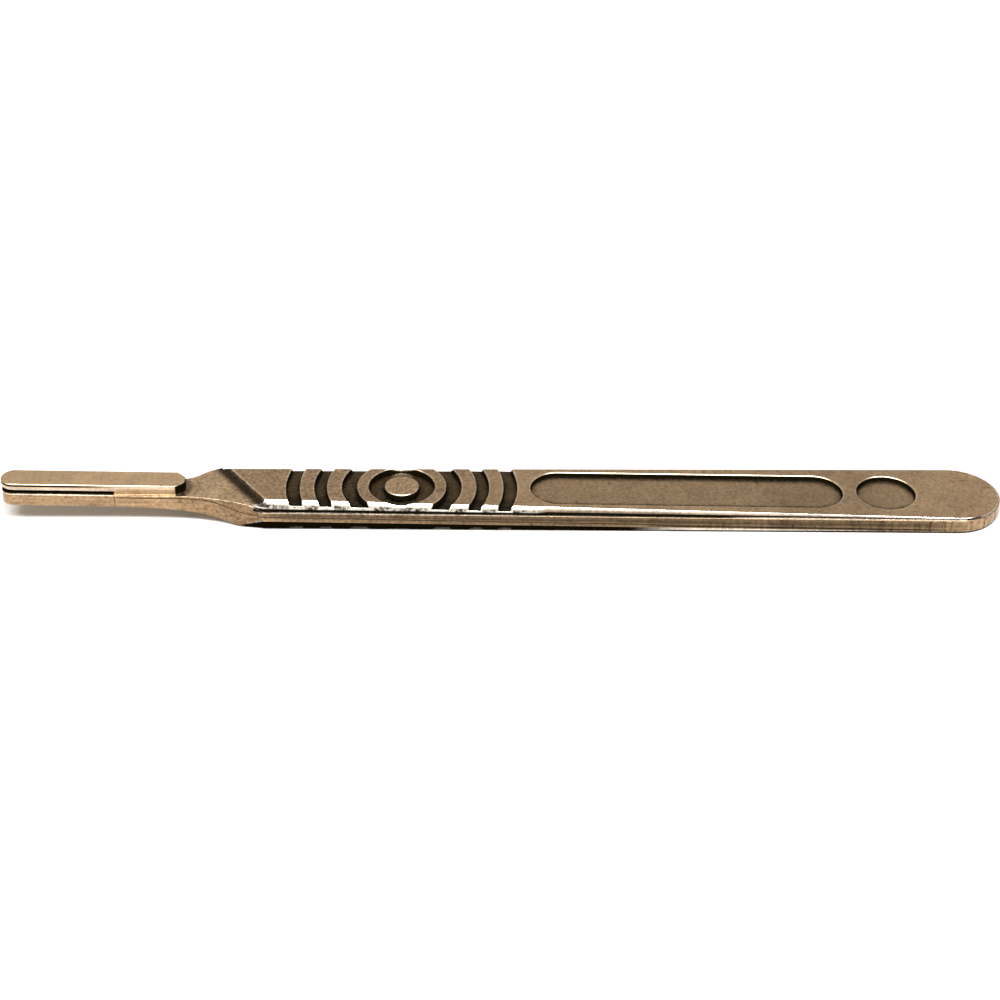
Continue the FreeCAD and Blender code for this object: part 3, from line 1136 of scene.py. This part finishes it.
@dataclass
class Handle:
    """The handle itself: the CAD node with its rear corners flattened, its edges broken and its finish on."""

    node: bpy.types.Object
    edge_break: float = 0.045
    sharp_angle: float = 28.0
    flat_angle: float = 0.3
    weld_distance: float = 0.001
    finish: SatinSteel = SatinSteel()

    @staticmethod
    def _modifier_graph(name: str) -> Graph:
        """Makes an empty node group that takes and gives a geometry.

        Args:
            name: The group's name.

        Returns:
            The group's graph.
        """
        group = bpy.data.node_groups.new(name, "GeometryNodeTree")
        for direction in ("INPUT", "OUTPUT"):
            group.interface.new_socket("Geometry", in_out=direction, socket_type="NodeSocketGeometry")
        return Graph(group)

    def cut_corners(self) -> None:
        """Flattens the bar's round rear corners towards chamfers, which the CAD node doesn't have."""
        graph = self._modifier_graph("cut_rear_corners")
        seat, form = self.finish.seat, self.finish.form
        position = graph.node("GeometryNodeInputPosition").outputs[0]
        place = graph.node("ShaderNodeSeparateXYZ", None, {0: position})
        station = Signal(graph, place.outputs[0]) * (1 / MM) + form.length / 2
        across = Signal(graph, place.outputs[1]) * (1 / MM)
        height = Signal(graph, place.outputs[2]) * (1 / MM)
        along = station - seat.bar_length + seat.rear_radius
        aside = abs(across) - seat.bar_half_width + seat.rear_radius
        radius = (along * along + aside * aside).root().at_least(0.01)
        facing = ((along + aside) / radius).at_least(1.0)
        pull = (1 - 1 / facing) * radius.rise(seat.rear_radius + 0.04, seat.rear_radius + 0.03)
        pull = pull * height.rise(seat.rear_height - 0.1, seat.rear_height) * -seat.rear_flatness * MM
        side = across / abs(across).at_least(0.01)
        offset = graph.node("ShaderNodeCombineXYZ", None, {0: along * pull, 1: aside * side * pull})
        start = graph.node("NodeGroupInput")
        values = {0: start.outputs[0], "Offset": offset.outputs[0]}
        moved = graph.node("GeometryNodeSetPosition", None, values)
        graph.node("NodeGroupOutput", None, {0: moved.outputs[0]})
        self.node.modifiers.new("cut_corners", "NODES").node_group = graph.tree

    def soften(self) -> None:
        """Merges the flat facets, breaks sharp edges the way that tumbling does and evens the normals."""
        weld = self.node.modifiers.new("weld", "WELD")
        weld.merge_threshold = self.weld_distance * MM
        flats = self.node.modifiers.new("flats", "DECIMATE")
        flats.decimate_type = "DISSOLVE"
        flats.angle_limit = math.radians(self.flat_angle)
        smooth = self.node.modifiers.new("smooth", "NODES")
        smooth.node_group = self._smoothing()
        tumbled = self.node.modifiers.new("tumbled", "BEVEL")
        tumbled.limit_method = "ANGLE"
        tumbled.angle_limit = math.radians(self.sharp_angle)
        tumbled.width = self.edge_break * MM
        tumbled.segments = 2
        tumbled.use_clamp_overlap = False
        even = self.node.modifiers.new("even", "WEIGHTED_NORMAL")
        even.weight = 100

    def _smoothing(self) -> bpy.types.NodeTree:
        """Builds the small node group that drops the stored normals and shades every face smooth.

        Returns:
            The node group.
        """
        graph = self._modifier_graph("shade_smooth")
        start = graph.node("NodeGroupInput")
        values = {0: start.outputs[0], "Name": "custom_normal"}
        bare = graph.node("GeometryNodeRemoveAttribute", None, values)
        smooth = graph.node("GeometryNodeSetShadeSmooth", None, {0: bare.outputs[0]})
        graph.node("NodeGroupOutput", None, {0: smooth.outputs[0]})
        return graph.tree

    def dress(self) -> None:
        """Puts the finish on."""
        material = self.finish.material()
        for slot in self.node.material_slots:
            slot.material = material

    def build(self) -> None:
        """Flattens the rear corners, softens the edges and dresses the handle."""
        self.cut_corners()
        self.soften()
        self.dress()
        LOG.info("%s: %d faces before its edges are broken", self.node.name, len(self.node.data.polygons))


@dataclass(frozen=True)
class Softbox:
    """A soft light panel aimed at the handle.

    azimuth goes from the camera's side round to the right, and elevation is above the floor, in degrees.
    """

    name: str
    azimuth: float
    elevation: float
    distance: float
    width: float
    height: float
    power: float
    colour: Colour = (1.0, 1.0, 1.0)

    def build(self) -> None:
        """Adds the light."""
        light = bpy.data.lights.new(self.name, "AREA")
        light.shape = "RECTANGLE"
        light.size = self.width
        light.size_y = self.height
        light.energy = self.power
        light.color = self.colour
        lamp = bpy.data.objects.new(self.name, light)
        turn, lift = math.radians(self.azimuth), math.radians(self.elevation)
        out = Vector((math.sin(turn) * math.cos(lift), -math.cos(turn) * math.cos(lift), math.sin(lift)))
        lamp.location = out * self.distance
        lamp.rotation_mode = "QUATERNION"
        lamp.rotation_quaternion = out.to_track_quat("Z", "Y")
        bpy.context.scene.collection.objects.link(lamp)


@dataclass
class Studio:
    """The floor, the lights, the surroundings and the camera."""

    floor_size: float = 6.0
    floor_tone: float = 0.55
    room_colour: Colour = (1.0, 0.88, 0.74)
    camera_elevation: float = 34.0
    camera_distance: float = 0.300
    focal_pixels: float = 2269.0
    image_pixels: float = 1000.0
    centre_pixels: tuple[float, float] = (501.8, 511.1)
    camera_roll: float = 0.344
    base_light: float = 0.03
    rear_light: float = 0.6
    front_light: float = 1.1
    side_light: float = 0.5
    top_light: float = 0.15
    lights: tuple[Softbox, ...] = (Softbox("front_key", 0.0, 64.0, 1.2, 1.5, 0.3, 40.0),)

    def build_floor(self) -> None:
        """Lays the pale floor."""
        half = self.floor_size / 2
        mesh = bpy.data.meshes.new("floor")
        corners = [(-half, -half, 0), (half, -half, 0), (half, half, 0), (-half, half, 0)]
        mesh.from_pydata(corners, [], [(0, 1, 2, 3)])
        floor = bpy.data.objects.new("floor", mesh)
        bpy.context.scene.collection.objects.link(floor)
        material = bpy.data.materials.new("pale_floor")
        material.use_nodes = True
        graph = Graph(material.node_tree)
        values = {"Base Color": (self.floor_tone,) * 3 + (1.0,), "Roughness": 0.9, "Specular IOR Level": 0.1}
        shader = graph.node("ShaderNodeBsdfPrincipled", None, values)
        graph.node("ShaderNodeOutputMaterial", None, {0: shader.outputs[0]})
        mesh.materials.append(material)

    def build_surroundings(self) -> None:
        """Gives the world a faint even light and pale panels in front, behind, at the sides and overhead."""
        world = bpy.data.worlds.new("studio")
        world.use_nodes = True
        bpy.context.scene.world = world
        graph = Graph(world.node_tree)
        direction = graph.node("ShaderNodeTexCoord").outputs["Generated"]
        parts = graph.node("ShaderNodeSeparateXYZ", None, {0: direction})
        right = Signal(graph, parts.outputs[0])
        aside = abs(right)
        back = Signal(graph, parts.outputs[1])
        height = Signal(graph, parts.outputs[2])
        rear_panel = back.rise(0.0, 0.35) * height.rise(0.05, 0.3) * aside.rise(0.75, 0.4)
        front_panel = back.rise(0.0, -0.3) * height.rise(-0.02, 0.12) * right.rise(0.55, 0.35)
        side_panels = aside.rise(0.6, 0.8) * height.rise(-0.02, 0.15)
        light = self.base_light + rear_panel * self.rear_light + front_panel * self.front_light
        light = light + side_panels * self.side_light + height.rise(0.75, 0.95) * self.top_light
        values = {"Color": (*self.room_colour, 1.0), "Strength": light}
        background = graph.node("ShaderNodeBackground", None, values)
        graph.node("ShaderNodeOutputWorld", None, {0: background.outputs[0]})

    def build_camera(self) -> None:
        """Sets the camera at the photograph's viewing angle."""
        data = bpy.data.cameras.new("camera")
        data.lens = self.focal_pixels / self.image_pixels * data.sensor_width
        data.shift_x = 0.5 - self.centre_pixels[0] / self.image_pixels
        data.shift_y = self.centre_pixels[1] / self.image_pixels - 0.5
        camera = bpy.data.objects.new("camera", data)
        lift = math.radians(self.camera_elevation)
        back = Vector((0, -math.cos(lift), math.sin(lift)))
        turn = Matrix.Rotation(math.radians(-self.camera_roll), 4, back)
        camera.matrix_world = Matrix.Translation(back * self.camera_distance) @ turn @ (
            (-back).to_track_quat("-Z", "Y").to_matrix().to_4x4()
        )
        bpy.context.scene.collection.objects.link(camera)
        bpy.context.scene.camera = camera

    def build(self) -> None:
        """Builds the whole studio."""
        bpy.context.scene.view_settings.view_transform = "Standard"
        self.build_floor()
        self.build_surroundings()
        for light in self.lights:
            light.build()
        self.build_camera()
        LOG.info("studio: floor, %d lights and camera", len(self.lights))


def main() -> None:
    """Builds the object and its studio."""
    logging.basicConfig(level=logging.INFO)
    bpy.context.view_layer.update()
    Handle(frame["nodes"]["handle"]).build()
    Studio().build()


if __name__ == "__main__":
    main()
